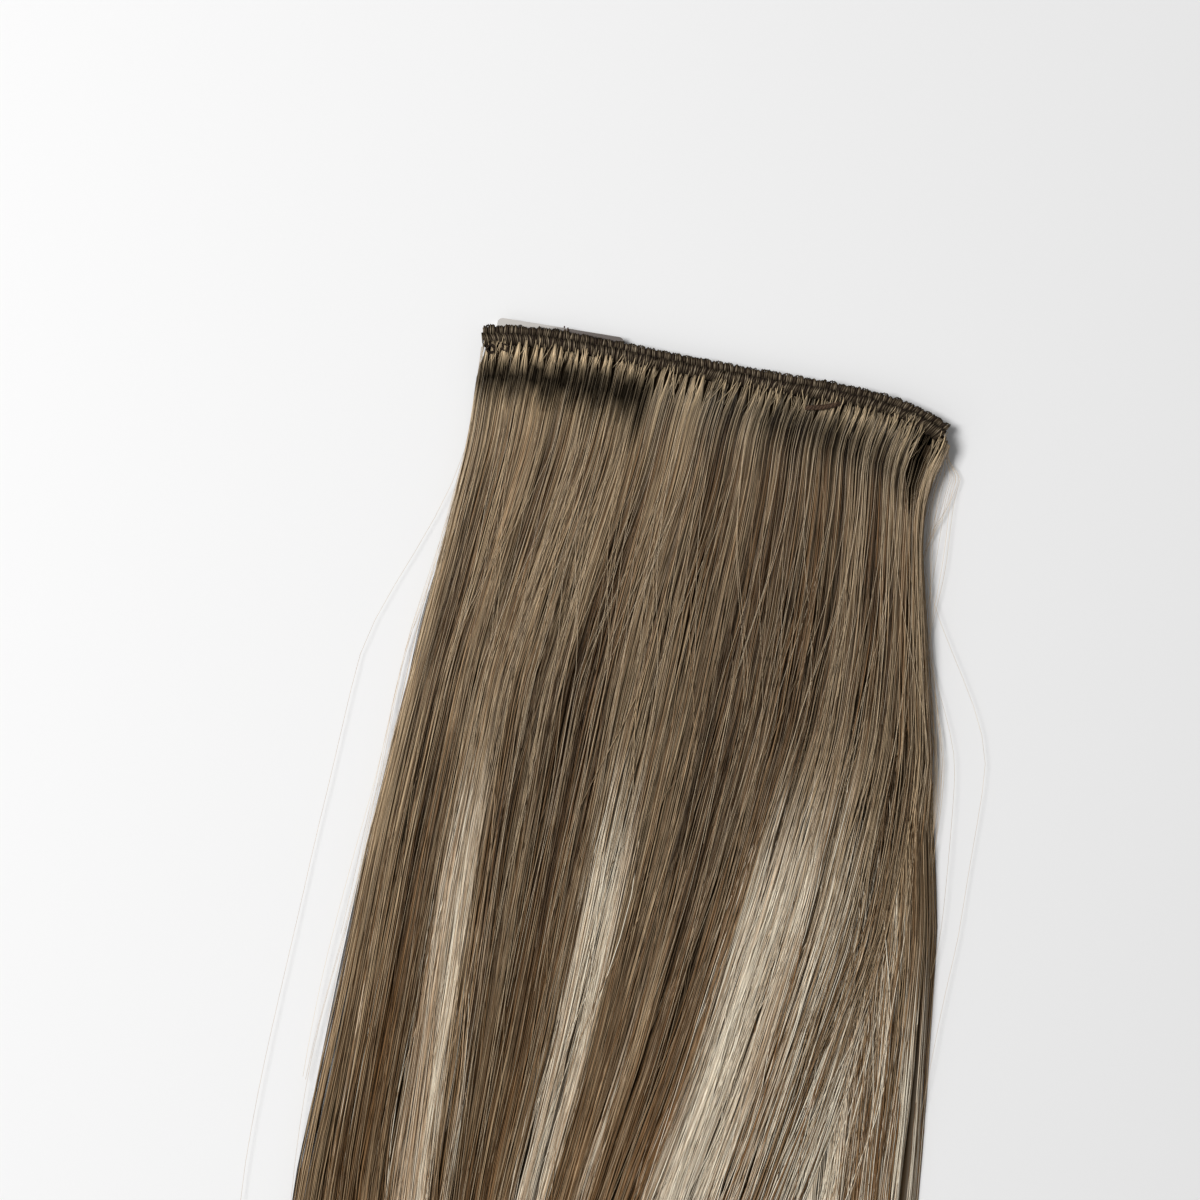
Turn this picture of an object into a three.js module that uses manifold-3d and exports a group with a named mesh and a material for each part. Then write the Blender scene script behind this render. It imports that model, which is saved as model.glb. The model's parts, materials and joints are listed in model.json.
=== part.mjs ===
// A clip-in hair extension, lying face up: two stitched tracks, one on the other, each
// carrying a layer of long hair in locks, with two snap clips sewn under the ends.
// Lengths are in millimetres. +X runs along the weft, +Y from the hair's tips to the weft,
// and +Z up from the surface that it lies on.

import * as THREE from 'three';
import { mergeVertices } from 'three/addons/utils/BufferGeometryUtils.js';
import Module from 'manifold-3d';

const wasm = await Module();
wasm.setup();

// The air between two pieces that touch on the real thing
const GAP = 0.3;

// The weft's top edge, seen from above
const WEFT_SPAN = 120.8;
const WEFT_DROP = 25.4;

// The two tracks, ribbed by the thread that is wound round them
const TRACK_HEIGHT = 3.6;
const TRACK_THICKNESS = 1.6;
const TRACK_STEP = 2.2;
const STITCH_PITCH = 1.42;
const STITCH_RELIEF = 0.22;

// The hair
const HAIR_FALL = 295;
const LAYER_LOFT = 3.4;
const ROOT_LOFT = 0.9;
const LAYER_GAP = 0.45;
const BACK_LOCKS = 8;
const FRONT_LOCKS = 10;
const END_TUFT_SHARE = 0.05;
const LOCK_OVERLAP = 0.12;
const LOCK_STAGGER = 0.05;
const DESCENT_RUN = 24;

// The snap clips: a flat frame, a sleeve on its lower bar and a hinged comb under it
const CLIP_LENGTH = 33;
const PLATE_THICKNESS = 0.6;
const PLATE_CORNER = 1.4;
const SPINE_WIDTH = 3.2;
const LEG_WIDTH = 1.8;
const SEWING_HOLES = 3;
const SEWING_HOLE_DIAMETER = 1.4;
const SEWING_HOLE_PITCH = 10.5;
const GRIP_REACH = 8.4;
const GRIP_BAR = 0.6;
const GRIP_BORE = 1.4;
const GRIP_DIAMETER = 2.0;
const PIN_DIAMETER = 0.8;
const KNUCKLE_BORE = 1.4;
const KNUCKLE_DIAMETER = 2.0;
const KNUCKLE_LENGTH = 2.0;
const LUG_THICKNESS = 1.2;
const COMB_THICKNESS = 0.5;
const COMB_BACK_WIDTH = 2.4;
const COMB_REACH = 11.5;
const COMB_TEETH = 8;
const TOOTH_WIDTH = 1.2;
const TOOTH_TIP_SHARE = 0.55;
const FLOOR_CLEARANCE = 0.25;

// How far each clip's spine lies below the weft's top edge: the left one stands above it
const LEFT_CLIP_INSET = -0.8;
const RIGHT_CLIP_INSET = 2.4;

// Rows along the weft's top edge: how far along it is, and how far it has come down
const WEFT_ROWS = [
  { along: 0, drop: 0 },
  { along: 0.09, drop: 0.005 },
  { along: 0.18, drop: 0.06 },
  { along: 0.31, drop: 0.19 },
  { along: 0.46, drop: 0.32 },
  { along: 0.59, drop: 0.455 },
  { along: 0.68, drop: 0.52 },
  { along: 0.78, drop: 0.6 },
  { along: 0.87, drop: 0.72 },
  { along: 1, drop: 1 },
];

// Where each clip's middle sits along the weft
const CLIP_ROWS = [
  { side: 'left', along: 0.165, inset: LEFT_CLIP_INSET },
  { side: 'right', along: 0.835, inset: RIGHT_CLIP_INSET },
];

// How far the front layer drifts sideways, in shares of HAIR_FALL, for five places along
// the weft, down the hair
const FRONT_PLACES = { left: 0, inner_left: 0.28, middle: 0.5, inner_right: 0.8, right: 1 };
const FRONT_DRIFT = [
  { down: 0, left: 0, inner_left: 0, middle: 0, inner_right: 0, right: 0 },
  { down: 0.04, left: -0.004, inner_left: -0.007, middle: -0.01, inner_right: -0.008, right: -0.012 },
  { down: 0.1, left: -0.013, inner_left: -0.022, middle: -0.026, inner_right: -0.013, right: -0.021 },
  { down: 0.2, left: -0.037, inner_left: -0.057, middle: -0.054, inner_right: -0.026, right: -0.019 },
  { down: 0.3, left: -0.063, inner_left: -0.09, middle: -0.077, inner_right: -0.043, right: -0.013 },
  { down: 0.45, left: -0.101, inner_left: -0.116, middle: -0.11, inner_right: -0.087, right: -0.03 },
  { down: 0.6, left: -0.132, inner_left: -0.137, middle: -0.143, inner_right: -0.137, right: -0.066 },
  { down: 0.74, left: -0.163, inner_left: -0.156, middle: -0.179, inner_right: -0.191, right: -0.108 },
  { down: 0.87, left: -0.184, inner_left: -0.168, middle: -0.204, inner_right: -0.228, right: -0.145 },
  { down: 1, left: -0.2, inner_left: -0.174, middle: -0.217, inner_right: -0.246, right: -0.17 },
];

// The back layer hangs straighter, and fills the right edge
const BACK_PLACES = { left: 0, middle: 0.5, right: 1 };
const BACK_DRIFT = [
  { down: 0, left: 0, middle: 0, right: 0 },
  { down: 0.1, left: -0.01, middle: -0.019, right: -0.021 },
  { down: 0.2, left: -0.03, middle: -0.039, right: -0.018 },
  { down: 0.3, left: -0.054, middle: -0.057, right: -0.009 },
  { down: 0.45, left: -0.085, middle: -0.078, right: -0.01 },
  { down: 0.6, left: -0.111, middle: -0.1, right: -0.031 },
  { down: 0.74, left: -0.137, middle: -0.126, right: -0.054 },
  { down: 0.87, left: -0.157, middle: -0.146, right: -0.07 },
  { down: 1, left: -0.17, middle: -0.158, right: -0.08 },
];

// Sections down one lock past its descent to the floor, in shares of the lock's own
// length: its width against its place in the curtain, and its thickness against the loft
const LOCK_ROWS = [
  { down: 0.14, width: 1, loft: 0.94 },
  { down: 0.26, width: 1, loft: 1 },
  { down: 0.4, width: 1, loft: 1 },
  { down: 0.54, width: 0.97, loft: 0.96 },
  { down: 0.68, width: 0.94, loft: 0.88 },
  { down: 0.82, width: 0.9, loft: 0.74 },
  { down: 0.93, width: 0.78, loft: 0.5 },
  { down: 1, width: 0.34, loft: 0.2 },
];

// One lock's section: flat below, domed above, in shares of its half width and thickness
const LOCK_OUTLINE = [
  { across: -0.62, up: 0 },
  { across: 0.62, up: 0 },
  { across: 1, up: 0.42 },
  { across: 0.4, up: 1 },
  { across: -0.4, up: 1 },
  { across: -1, up: 0.42 },
];

// A track's section, in shares of its height and half thickness, inset between the ribs
const TRACK_OUTLINE = [
  { down: 0, up: 0 },
  { down: 0.2, up: -1 },
  { down: 0.8, up: -1 },
  { down: 1, up: 0 },
  { down: 0.8, up: 1 },
  { down: 0.2, up: 1 },
];

// Heights above the floor, from the comb up
const KNUCKLE_RADIUS = KNUCKLE_DIAMETER / 2;
const HINGE_Z = FLOOR_CLEARANCE + KNUCKLE_RADIUS;
const PLATE_BOTTOM = HINGE_Z + KNUCKLE_RADIUS + GAP;
const PLATE_TOP = PLATE_BOTTOM + PLATE_THICKNESS;
const GRIP_Z = PLATE_BOTTOM + PLATE_THICKNESS / 2;
const BACK_TRACK_BOTTOM = PLATE_TOP + GAP;
const FRONT_TRACK_BOTTOM = BACK_TRACK_BOTTOM + TRACK_THICKNESS + GAP;
const GRIP_TOP = GRIP_Z + GRIP_DIAMETER / 2;
const HAIR_LIFT = Math.max(GRIP_TOP + GAP, BACK_TRACK_BOTTOM);

// Distances below the weft's top edge
const HINGE_Y = SPINE_WIDTH / 2;
const LOWEST_INSET = Math.max(...CLIP_ROWS.map((row) => row.inset));
const CLIP_REACH = LOWEST_INSET + COMB_REACH;
const BACK_ROOT = TRACK_HEIGHT + GAP;
const FRONT_ROOT = TRACK_STEP + TRACK_HEIGHT + GAP;

const THREAD = { color: 0x41362b, roughness: 0.85, metalness: 0 };
const HAIR = { color: 0x75634c, roughness: 0.45, metalness: 0 };
const STEEL = { color: 0xa9a5a0, roughness: 0.35, metalness: 0.9 };
const SILICONE = { color: 0x3b312a, roughness: 0.6, metalness: 0 };

const weftLine = new THREE.CatmullRomCurve3(
  WEFT_ROWS.map((row) => new THREE.Vector3(row.along * WEFT_SPAN, -row.drop * WEFT_DROP, 0)),
);

const group = new THREE.Group();

function addPiece(parent, name, geometry, finish) {
  const piece = new THREE.Mesh(geometry, new THREE.MeshStandardMaterial(finish));
  piece.name = name;
  parent.add(piece);
  return piece;
}

function solidOf(geometry) {
  const bare = geometry.clone();
  bare.deleteAttribute('normal');
  bare.deleteAttribute('uv');
  const merged = mergeVertices(bare, 1e-5);
  return new wasm.Manifold(new wasm.Mesh({
    numProp: 3,
    vertProperties: new Float32Array(merged.attributes.position.array),
    triVerts: new Uint32Array(merged.index.array),
  }));
}

function geometryOf(solid) {
  const mesh = solid.getMesh();
  const geometry = new THREE.BufferGeometry();
  geometry.setAttribute('position', new THREE.BufferAttribute(mesh.vertProperties, 3));
  geometry.setIndex(new THREE.BufferAttribute(mesh.triVerts, 1));
  geometry.computeVertexNormals();
  return geometry;
}

function joined(geometries) {
  const [first, ...rest] = geometries.map(solidOf);
  return geometryOf(rest.reduce((whole, solid) => whole.add(solid), first));
}

// Six times the volume that a mesh encloses, below zero where its faces point inwards
function signedVolume(corners, faces) {
  const at = (index) => new THREE.Vector3().fromArray(corners, 3 * faces[index]);
  let sum = 0;
  for (let index = 0; index < faces.length; index += 3) {
    sum += at(index).dot(at(index + 1).cross(at(index + 2)));
  }
  return sum;
}

// A closed skin through rings of points, each ring going the same way round
function loft(rings) {
  const sides = rings[0].length;
  const corners = rings.flat().flatMap((point) => [point.x, point.y, point.z]);
  const faces = [];
  for (let ring = 0; ring + 1 < rings.length; ring += 1) {
    for (let side = 0; side < sides; side += 1) {
      const next = (side + 1) % sides;
      const a = ring * sides + side;
      const b = ring * sides + next;
      faces.push(a, b, b + sides, a, b + sides, a + sides);
    }
  }
  const last = (rings.length - 1) * sides;
  for (let side = 1; side + 1 < sides; side += 1) {
    faces.push(0, side + 1, side);
    faces.push(last, last + side, last + side + 1);
  }
  if (signedVolume(corners, faces) < 0) {
    faces.reverse();
  }
  const geometry = new THREE.BufferGeometry();
  geometry.setAttribute('position', new THREE.Float32BufferAttribute(corners, 3));
  geometry.setIndex(faces);
  geometry.computeVertexNormals();
  return geometry;
}

// A smooth value between the rows of a table: each row's slope is that of its neighbours
function smoothValue(rows, column, at) {
  const last = rows.length - 1;
  const place = Math.min(Math.max(at, rows[0].down), rows[last].down);
  let index = 0;
  while (index < last - 1 && rows[index + 1].down < place) {
    index += 1;
  }
  const slope = (row) => {
    const before = rows[Math.max(row - 1, 0)];
    const after = rows[Math.min(row + 1, last)];
    return (after[column] - before[column]) / (after.down - before.down);
  };
  const low = rows[index];
  const high = rows[index + 1];
  const run = high.down - low.down;
  const t = (place - low.down) / run;
  const rise = high[column] - low[column];
  const startSlope = slope(index) * run;
  const endSlope = slope(index + 1) * run;
  const square = (3 * rise - 2 * startSlope - endSlope) * t * t;
  const cube = (startSlope + endSlope - 2 * rise) * t * t * t;
  return low[column] + startSlope * t + square + cube;
}

// Where a hair that is rooted at a share along the weft lies, at a distance below the top edge
function flowPoint(layer, along, fall) {
  const places = Object.entries(layer.places);
  let index = 0;
  while (index < places.length - 2 && places[index + 1][1] < along) {
    index += 1;
  }
  const [lowColumn, low] = places[index];
  const [highColumn, high] = places[index + 1];
  const down = fall / HAIR_FALL;
  const share = (along - low) / (high - low);
  const drift = THREE.MathUtils.lerp(
    smoothValue(layer.drift, lowColumn, down),
    smoothValue(layer.drift, highColumn, down),
    share,
  );
  const root = weftLine.getPointAt(along);
  return new THREE.Vector3(root.x + drift * HAIR_FALL, root.y - fall, 0);
}

// The hair's underside stays over the clips and then comes down to the floor
function undersideHeight(fall) {
  const done = THREE.MathUtils.smoothstep(fall, CLIP_REACH, CLIP_REACH + DESCENT_RUN);
  return HAIR_LIFT * (1 - done);
}

// Thickness grows from that of a root squeezed by its track to the full loft
function layerThickness(fall, rootThickness, loftShare) {
  const grown = THREE.MathUtils.smoothstep(fall, FRONT_ROOT, CLIP_REACH + DESCENT_RUN);
  return THREE.MathUtils.lerp(rootThickness, LAYER_LOFT * loftShare, grown);
}

function sectionAt(layer, fall, row) {
  const thickness = layerThickness(fall, layer.rootThickness, row.loft);
  const backThickness = layerThickness(fall, ROOT_LOFT, layer.bed(fall));
  const bottom = undersideHeight(fall) + (layer.above ? backThickness + LAYER_GAP : 0);
  return { bottom, thickness };
}

// One lock between two shares along the weft, as long as its share of the hair
function lockGeometry(layer, from, to, length) {
  const run = CLIP_REACH + DESCENT_RUN;
  const nearRows = [layer.root, FRONT_ROOT + GAP, CLIP_REACH, CLIP_REACH + DESCENT_RUN / 2, run];
  const near = nearRows.map((fall) => ({ fall, width: 1, loft: LOCK_ROWS[0].loft }));
  const rest = length * HAIR_FALL - run;
  const first = LOCK_ROWS[0].down;
  const far = LOCK_ROWS.slice(1).map((row) => ({
    ...row,
    fall: run + rest * (row.down - first) / (1 - first),
  }));
  const rings = [...near, ...far].map((row) => {
    const left = flowPoint(layer, from, row.fall);
    const right = flowPoint(layer, to, row.fall);
    const middle = left.clone().lerp(right, 0.5);
    const half = right.clone().sub(left).multiplyScalar(0.5 * row.width * (1 + LOCK_OVERLAP));
    const { bottom, thickness } = sectionAt(layer, row.fall, row);
    return LOCK_OUTLINE.map((corner) => {
      const point = middle.clone().addScaledVector(half, corner.across);
      point.z = bottom + thickness * corner.up;
      return point;
    });
  });
  return loft(rings);
}

// The back layer's fullest thickness at a distance, so that the front layer clears it
function fullestLoft(fall) {
  const share = Math.min(Math.max(fall / HAIR_FALL, 0), 1);
  return smoothValue(LOCK_ROWS, 'loft', share);
}

function lockEnds(layer) {
  const ends = [];
  const curtainEnd = layer.endTuft ? 1 - END_TUFT_SHARE : 1;
  for (let index = 0; index <= layer.locks; index += 1) {
    ends.push((curtainEnd * index) / layer.locks);
  }
  return layer.endTuft ? [...ends, 1] : ends;
}

// Locks differ in length by a fixed pattern that never repeats: shares of the golden ratio
function lockLength(index) {
  const golden = 0.618034;
  return 1 - LOCK_STAGGER * ((index * golden) % 1);
}

function hairLayer(layer) {
  const ends = lockEnds(layer);
  const locks = ends.slice(1).map((to, index) => lockGeometry(layer, ends[index], to, lockLength(index)));
  return joined(locks);
}

// A ribbed track along the weft, from a distance below the top edge and a height
function trackGeometry(below, bottom) {
  const ribs = Math.max(2, Math.round(weftLine.getLength() / STITCH_PITCH));
  const steps = ribs * 2;
  const rings = [];
  for (let step = 0; step <= steps; step += 1) {
    const along = step / steps;
    const edge = weftLine.getPointAt(along);
    const tangent = weftLine.getTangentAt(along);
    const inward = new THREE.Vector3(tangent.y, -tangent.x, 0);
    const relief = step % 2 === 1 ? 0 : STITCH_RELIEF;
    const height = TRACK_HEIGHT - 2 * relief;
    const half = TRACK_THICKNESS / 2 - relief;
    rings.push(TRACK_OUTLINE.map((corner) => {
      const point = edge.clone().addScaledVector(inward, below + relief + corner.down * height);
      point.z = bottom + TRACK_THICKNESS / 2 + corner.up * half;
      return point;
    }));
  }
  return loft(rings);
}

function roundedRectangle(path, left, right, low, high, corner) {
  path.moveTo(left + corner, low);
  path.lineTo(right - corner, low);
  path.absarc(right - corner, low + corner, corner, -Math.PI / 2, 0);
  path.absarc(right - corner, high - corner, corner, 0, Math.PI / 2);
  path.absarc(left + corner, high - corner, corner, Math.PI / 2, Math.PI);
  path.absarc(left + corner, low + corner, corner, Math.PI, 1.5 * Math.PI);
  return path;
}

function bar(xSize, ySize, zSize, x, y, z) {
  return new THREE.BoxGeometry(xSize, ySize, zSize).translate(x, y, z);
}

function rodAlongX(diameter, length, sides, x, y, z) {
  const rod = new THREE.CylinderGeometry(diameter / 2, diameter / 2, length, sides);
  return rod.rotateZ(Math.PI / 2).translate(x, y, z);
}

// The frame: a flat ring with sewing holes in its spine, a lug and a pin under each end,
// and a thin bar below for the sleeve
function clipFrame() {
  const half = CLIP_LENGTH / 2;
  const legEnd = GRIP_REACH + GRIP_BAR / 2;
  const shape = roundedRectangle(new THREE.Shape(), -half, half, -legEnd, 0, PLATE_CORNER);
  const windowCorner = PLATE_CORNER / 2;
  const window = roundedRectangle(
    new THREE.Path(),
    -half + LEG_WIDTH,
    half - LEG_WIDTH,
    -legEnd + GRIP_BAR,
    -SPINE_WIDTH,
    windowCorner,
  );
  shape.holes.push(window);
  for (let hole = 0; hole < SEWING_HOLES; hole += 1) {
    const x = (hole - (SEWING_HOLES - 1) / 2) * SEWING_HOLE_PITCH;
    shape.holes.push(new THREE.Path().absarc(x, -HINGE_Y, SEWING_HOLE_DIAMETER / 2, 0, 2 * Math.PI));
  }
  const plate = new THREE.ExtrudeGeometry(shape, {
    depth: PLATE_THICKNESS,
    bevelEnabled: false,
    curveSegments: 4,
  }).translate(0, 0, PLATE_BOTTOM);
  const pieces = [plate];
  for (const end of [-1, 1]) {
    const lugX = end * (half - LUG_THICKNESS / 2);
    const lugTop = PLATE_BOTTOM + PLATE_THICKNESS / 2;
    const lugWidth = SPINE_WIDTH - 2 * windowCorner;
    pieces.push(bar(LUG_THICKNESS, lugWidth, lugTop, lugX, -HINGE_Y, lugTop / 2));
    const pinLength = KNUCKLE_LENGTH + 2 * GAP + LUG_THICKNESS / 2;
    const pinX = end * (half - LUG_THICKNESS / 2 - pinLength / 2);
    pieces.push(rodAlongX(PIN_DIAMETER, pinLength, 8, pinX, -HINGE_Y, HINGE_Z));
  }
  return joined(pieces);
}

// The soft sleeve on the frame's lower bar
function clipGrip() {
  const length = CLIP_LENGTH - 2 * LEG_WIDTH - 2 * PLATE_CORNER;
  const sleeve = solidOf(rodAlongX(GRIP_DIAMETER, length, 12, 0, -GRIP_REACH, GRIP_Z));
  const bore = solidOf(rodAlongX(GRIP_BORE, length + 2 * GAP, 12, 0, -GRIP_REACH, GRIP_Z));
  return geometryOf(sleeve.subtract(bore));
}

// One tooth's side outline, from the comb's back to its tip: it arches under the sleeve
function toothShape() {
  const start = HINGE_Y;
  const crown = GRIP_Z - GRIP_DIAMETER / 2 - GAP;
  const low = FLOOR_CLEARANCE;
  const tipTop = low + COMB_THICKNESS;
  const tipBottom = tipTop - COMB_THICKNESS * TOOTH_TIP_SHARE;
  const shoulder = start + (GRIP_REACH - start) / 2;
  const shape = new THREE.Shape();
  shape.moveTo(start, low);
  shape.lineTo(shoulder, low + COMB_THICKNESS / 2);
  shape.lineTo(GRIP_REACH, crown - COMB_THICKNESS);
  shape.lineTo(COMB_REACH, tipBottom);
  shape.lineTo(COMB_REACH, tipTop);
  shape.lineTo(GRIP_REACH, crown);
  shape.lineTo(shoulder, low + 1.5 * COMB_THICKNESS);
  shape.lineTo(start, low + COMB_THICKNESS);
  return shape;
}

// The comb: a flat back with a knuckle round each pin, and its row of teeth
function clipComb() {
  const knuckleX = CLIP_LENGTH / 2 - LUG_THICKNESS - GAP - KNUCKLE_LENGTH / 2;
  const backLength = 2 * knuckleX + KNUCKLE_LENGTH;
  const backZ = FLOOR_CLEARANCE + COMB_THICKNESS / 2;
  const pieces = [bar(backLength, COMB_BACK_WIDTH, COMB_THICKNESS, 0, -HINGE_Y, backZ)];
  const toothSpan = backLength - 2 * KNUCKLE_LENGTH - TOOTH_WIDTH;
  for (let tooth = 0; tooth < COMB_TEETH; tooth += 1) {
    const x = toothSpan * (tooth / (COMB_TEETH - 1) - 0.5);
    const geometry = new THREE.ExtrudeGeometry(toothShape(), {
      depth: TOOTH_WIDTH,
      bevelEnabled: false,
    });
    geometry.rotateX(Math.PI / 2).rotateZ(-Math.PI / 2);
    pieces.push(geometry.translate(x - TOOTH_WIDTH / 2, 0, 0));
  }
  for (const end of [-1, 1]) {
    pieces.push(rodAlongX(KNUCKLE_DIAMETER, KNUCKLE_LENGTH, 12, end * knuckleX, -HINGE_Y, HINGE_Z));
  }
  const [first, ...rest] = pieces.map(solidOf);
  let comb = rest.reduce((whole, solid) => whole.add(solid), first);
  for (const end of [-1, 1]) {
    const boreLength = KNUCKLE_LENGTH + 2 * GAP;
    const bore = rodAlongX(KNUCKLE_BORE, boreLength, 12, end * knuckleX, -HINGE_Y, HINGE_Z);
    comb = comb.subtract(solidOf(bore));
  }
  return geometryOf(comb);
}

function addClip(row) {
  const clip = new THREE.Group();
  const tangent = weftLine.getTangentAt(row.along);
  const edge = weftLine.getPointAt(row.along);
  const inward = new THREE.Vector3(tangent.y, -tangent.x, 0);
  clip.position.copy(edge.addScaledVector(inward, row.inset));
  clip.rotation.z = Math.atan2(tangent.y, tangent.x);
  addPiece(clip, `clip_${row.side}_frame`, clipFrame(), STEEL);
  addPiece(clip, `clip_${row.side}_grip`, clipGrip(), SILICONE);
  addPiece(clip, `clip_${row.side}_comb`, clipComb(), STEEL);
  group.add(clip);
}

const backLayer = {
  places: BACK_PLACES,
  drift: BACK_DRIFT,
  locks: BACK_LOCKS,
  endTuft: false,
  root: BACK_ROOT,
  rootThickness: ROOT_LOFT,
  above: false,
  bed: () => 0,
};
const frontLayer = {
  places: FRONT_PLACES,
  drift: FRONT_DRIFT,
  locks: FRONT_LOCKS,
  endTuft: true,
  root: FRONT_ROOT,
  rootThickness: TRACK_THICKNESS - STITCH_RELIEF,
  above: true,
  bed: fullestLoft,
};

addPiece(group, 'weft_track_back', trackGeometry(0, BACK_TRACK_BOTTOM), THREAD);
addPiece(group, 'weft_track_front', trackGeometry(TRACK_STEP, FRONT_TRACK_BOTTOM), THREAD);
addPiece(group, 'hair_locks_back', hairLayer(backLayer), HAIR);
addPiece(group, 'hair_locks_front', hairLayer(frontLayer), HAIR);
CLIP_ROWS.forEach(addClip);

// The origin is under the middle of the whole thing, on the floor
group.updateMatrixWorld(true);
const box = new THREE.Box3().setFromObject(group, true);
const middle = box.getCenter(new THREE.Vector3());
group.position.set(-middle.x, -middle.y, -box.min.z);

export default group;
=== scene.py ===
# %% [markdown]
# A clip-in hair extension lies face up on a pale floor. Thousands of long hairs come out of
# two stitched tracks, and two snap clips sit under the ends. The hairs are thin closed tubes,
# worked out together as numpy arrays, over a ridged body painted dark as shade, which stands
# for the hairs that nobody sees. The clips are the frame's own parts, and only get a finish here.

# %% Load the frame
import json
import bpy
import numpy as np
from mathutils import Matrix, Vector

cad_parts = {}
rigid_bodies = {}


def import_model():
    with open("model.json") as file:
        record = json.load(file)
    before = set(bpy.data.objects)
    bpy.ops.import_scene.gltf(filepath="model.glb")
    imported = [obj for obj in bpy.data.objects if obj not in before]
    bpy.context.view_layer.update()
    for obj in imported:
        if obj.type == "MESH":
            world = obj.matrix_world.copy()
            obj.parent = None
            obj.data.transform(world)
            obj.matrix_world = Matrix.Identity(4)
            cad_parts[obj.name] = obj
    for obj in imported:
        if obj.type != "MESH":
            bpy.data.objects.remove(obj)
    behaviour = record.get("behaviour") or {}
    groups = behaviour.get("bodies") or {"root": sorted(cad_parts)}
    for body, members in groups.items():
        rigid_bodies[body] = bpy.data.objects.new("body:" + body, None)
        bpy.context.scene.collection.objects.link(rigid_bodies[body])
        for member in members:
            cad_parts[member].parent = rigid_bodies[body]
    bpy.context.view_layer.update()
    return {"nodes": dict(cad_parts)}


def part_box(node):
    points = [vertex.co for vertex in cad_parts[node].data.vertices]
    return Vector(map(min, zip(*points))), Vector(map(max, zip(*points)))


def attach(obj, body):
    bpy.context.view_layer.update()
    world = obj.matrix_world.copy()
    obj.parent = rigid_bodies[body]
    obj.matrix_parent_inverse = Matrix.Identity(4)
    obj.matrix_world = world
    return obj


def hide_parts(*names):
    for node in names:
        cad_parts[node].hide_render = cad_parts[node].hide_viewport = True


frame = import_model()

# %% [markdown]
# The weft's curve is measured on the frame's back track, so that everything sewn to it
# follows it. A polynomial through the highest points of the track is smooth, and equal
# steps along its length give equal stitches.

# %% Measure the weft
MM = 0.001
rng = np.random.default_rng(20)

track_mesh = frame["nodes"]["weft_track_back"].data
track_points = np.empty(3 * len(track_mesh.vertices), np.float32)
track_mesh.vertices.foreach_get("co", track_points)
track_points = track_points.reshape(-1, 3)
track_low, track_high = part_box("weft_track_back")
_, front_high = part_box("weft_track_front")
_, hair_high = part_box("hair_locks_front")

COLUMNS = 40
column_edges = np.linspace(track_low.x, track_high.x, COLUMNS + 1)
column_of = np.clip(np.digitize(track_points[:, 0], column_edges) - 1, 0, COLUMNS - 1)
column_x = np.array([track_points[column_of == i, 0].mean() for i in range(COLUMNS)])
column_y = np.array([track_points[column_of == i, 1].max() for i in range(COLUMNS)])
weft_fit = np.polynomial.Polynomial.fit(column_x, column_y, 6)

fine_x = np.linspace(track_low.x, track_high.x, 800)
fine_y = weft_fit(fine_x)
fine_length = np.concatenate([[0], np.cumsum(np.hypot(np.diff(fine_x), np.diff(fine_y)))])
WEFT_LENGTH = fine_length[-1]
print("weft length, mm:", round(WEFT_LENGTH / MM, 1))


def weft_point(along):
    """x and y on the weft's top edge, at a share of the weft's length."""
    at = np.asarray(along) * WEFT_LENGTH
    return np.interp(at, fine_length, fine_x), np.interp(at, fine_length, fine_y)


def weft_inward(along):
    """The unit direction across the weft, from its top edge towards the hair."""
    step = 0.004
    x0, y0 = weft_point(np.clip(np.asarray(along) - step, 0, 1))
    x1, y1 = weft_point(np.clip(np.asarray(along) + step, 0, 1))
    length = np.hypot(x1 - x0, y1 - y0)
    return (y1 - y0) / length, -(x1 - x0) / length


def below_weft(along, reach):
    """x and y of points square to the weft's top edge, at a distance from it."""
    x, y = weft_point(along)
    nx, ny = weft_inward(along)
    return x + nx * reach, y + ny * reach


# %% [markdown]
# The camera looks straight down, as a flat lay is photographed. Its place comes from where
# the weft's left end shows in the photograph and from the scale of the clip, so the render
# has the photograph's crop: the tips of the hair run out of the picture.

# %% Camera
PHOTO_SIDE = 1200
PIXELS_PER_MM = 3.9
WEFT_LEFT_PIXEL = (481, 323.8)
LENS = 85
SENSOR = 36

pixel = MM / PIXELS_PER_MM
view_x = track_low.x + (PHOTO_SIDE / 2 - WEFT_LEFT_PIXEL[0]) * pixel
view_y = track_high.y - (PHOTO_SIDE / 2 - WEFT_LEFT_PIXEL[1]) * pixel
half_view = PHOTO_SIDE / 2 * pixel
camera_data = bpy.data.cameras.new("camera")
camera_data.lens = LENS
camera_data.sensor_width = SENSOR
camera = bpy.data.objects.new("camera", camera_data)
camera.location = (view_x, view_y, hair_high.z + half_view * 2 * LENS / SENSOR)
bpy.context.collection.objects.link(camera)
bpy.context.scene.camera = camera
print("camera height, mm:", round(camera.location.z / MM))


# %% [markdown]
# Three helpers put arrays into meshes. A tube is a ring of points carried along a path. A
# shell is a top and a bottom grid with a wall round them. Both are closed and face outwards.

# %% Mesh helpers
def put_mesh(name, points, loops, starts):
    """A mesh object from an array of points, the corners of all faces, and where each face starts."""
    mesh = bpy.data.meshes.new(name)
    mesh.vertices.add(len(points))
    mesh.vertices.foreach_set("co", np.asarray(points, np.float32).ravel())
    mesh.loops.add(len(loops))
    mesh.loops.foreach_set("vertex_index", np.asarray(loops, np.int32))
    mesh.polygons.add(len(starts))
    mesh.polygons.foreach_set("loop_start", np.asarray(starts, np.int32))
    mesh.polygons.foreach_set("use_smooth", np.ones(len(starts), bool))
    mesh.update(calc_edges=True)
    piece = bpy.data.objects.new(name, mesh)
    bpy.context.collection.objects.link(piece)
    return piece


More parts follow.
